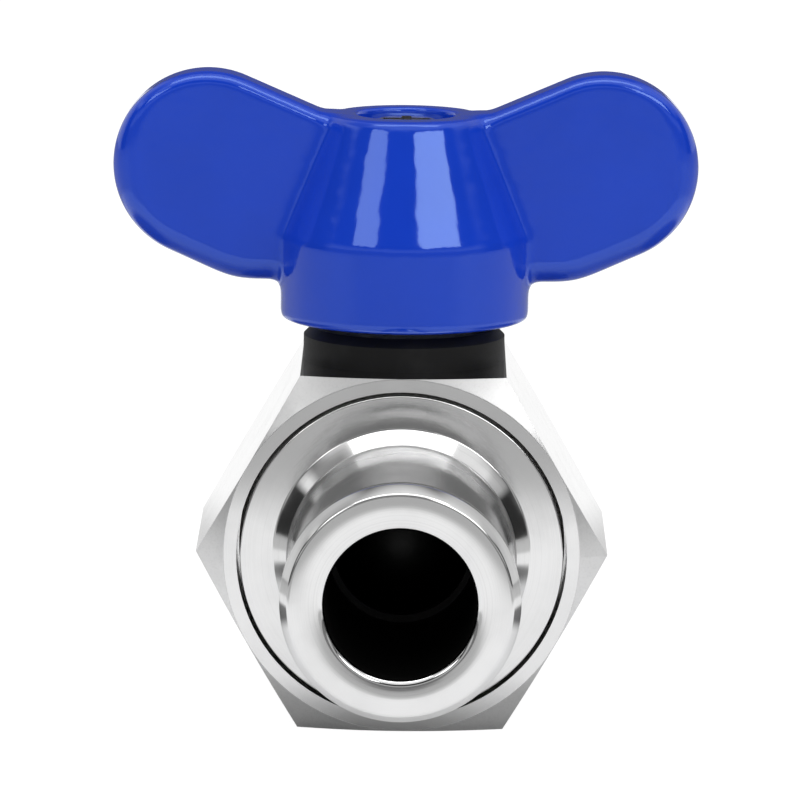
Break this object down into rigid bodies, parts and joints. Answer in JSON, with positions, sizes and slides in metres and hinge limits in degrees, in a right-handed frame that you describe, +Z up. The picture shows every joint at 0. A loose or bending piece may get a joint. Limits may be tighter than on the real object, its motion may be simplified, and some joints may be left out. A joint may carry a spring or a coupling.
{
  "type": "ball valve",
  "caption": "Compact ball valve with a hexagonal metal body, a hose tail at either end and a winged quarter-turn handle.",
  "frame": {"origin": "middle of the bottom flat of the hexagon, straight under the stem", "axes": "+X across the wings of the closed handle, +Y along the flow from the screwed-in tail to the other tail, +Z up along the stem"},
  "size_m": [0.0448, 0.0624, 0.0491],
  "materials": {
    "polished_metal": "polished stainless steel",
    "plain_steel": "turned steel",
    "blue_coating": "glossy blue coating on cast metal",
    "black_rubber": "matt black rubber",
    "dark_metal": "dark coated steel",
    "filled_plastic": "black carbon-filled sealing plastic",
    "seat_plastic": "white sealing plastic"
  },
  "bodies": {
    "valve": {"valve_body": "polished_metal", "front_hose_tail": "polished_metal", "tail_seal": "seat_plastic", "front_seat": "filled_plastic", "rear_seat": "filled_plastic", "front_seat_ring": "black_rubber", "rear_seat_ring": "black_rubber", "stem_thrust_washer": "seat_plastic", "lower_packing_ring": "seat_plastic", "upper_packing_ring": "seat_plastic", "gland_ring": "plain_steel", "gland_nut": "plain_steel", "dust_collar": "black_rubber"},
    "turning_set": {"handle": "blue_coating", "handle_washer": "plain_steel", "handle_spring_washer": "plain_steel", "handle_screw": "plain_steel", "stem": "plain_steel", "stem_ring": "black_rubber", "ball": "dark_metal"}
  },
  "joints": [
    {"name": "handle_turn", "type": "hinge", "parent": "valve", "child": "turning_set", "pos_m": [0, 0, 0.0135], "axis": [0, 0, 1], "range_deg": [0, 90]}
  ]
}
